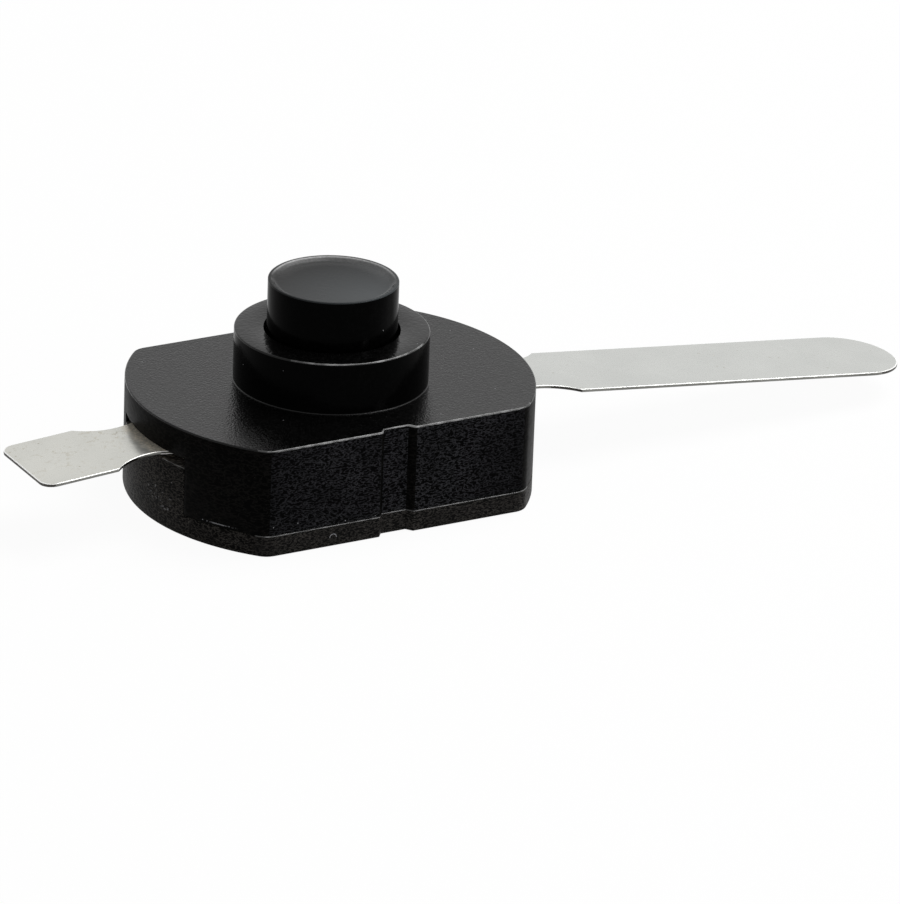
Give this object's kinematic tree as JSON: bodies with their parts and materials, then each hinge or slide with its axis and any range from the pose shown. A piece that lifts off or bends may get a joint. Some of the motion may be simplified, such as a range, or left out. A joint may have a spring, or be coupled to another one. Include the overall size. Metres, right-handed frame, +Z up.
{
  "type": "mini push-button switch",
  "caption": "Small latching push-button switch with a flat-sided round body, a collar round the button, and a short and a long strip terminal.",
  "frame": {"origin": "on the button's axis, at the underside of the base cover", "axes": "+Z up along the button's axis, out of the collar; +X along the long terminal; the two flats face -Y and +Y"},
  "size_m": [0.0408, 0.012, 0.0089],
  "materials": {
    "black_body": "satin moulded top, fine eroded grain on the sides",
    "black_base": "fine eroded grain",
    "black_button": "smooth moulded",
    "natural_rotor": "natural white moulded",
    "contact_metal": "bare stamped sheet",
    "spring_steel": "drawn wire",
    "plated_strip": "satin nickel plating"
  },
  "bodies": {
    "housing": {"top_housing": "black_body", "base_cover": "black_base", "short_terminal": "plated_strip", "long_terminal": "plated_strip", "return_spring": "spring_steel"},
    "button": {"button": "black_button"},
    "rotor": {"rotor": "natural_rotor", "contact_bridge": "contact_metal"}
  },
  "joints": [
    {"name": "button_press", "type": "slide", "parent": "housing", "child": "button", "axis": [0, 0, -1], "range_m": [0, 0.002], "stiffness_N_per_m": 1200, "springref_m": -0.0015, "deforming": ["return_spring"]},
    {"name": "rotor_index", "type": "hinge", "parent": "button", "child": "rotor", "pos_m": [0, 0, 0.004], "axis": [0, 0, 1], "range_deg": [0, 11.25]}
  ],
  "couplings": [
    {"joint": "rotor_index", "follows": "button_press", "rad_per_m": 98.17}
  ]
}
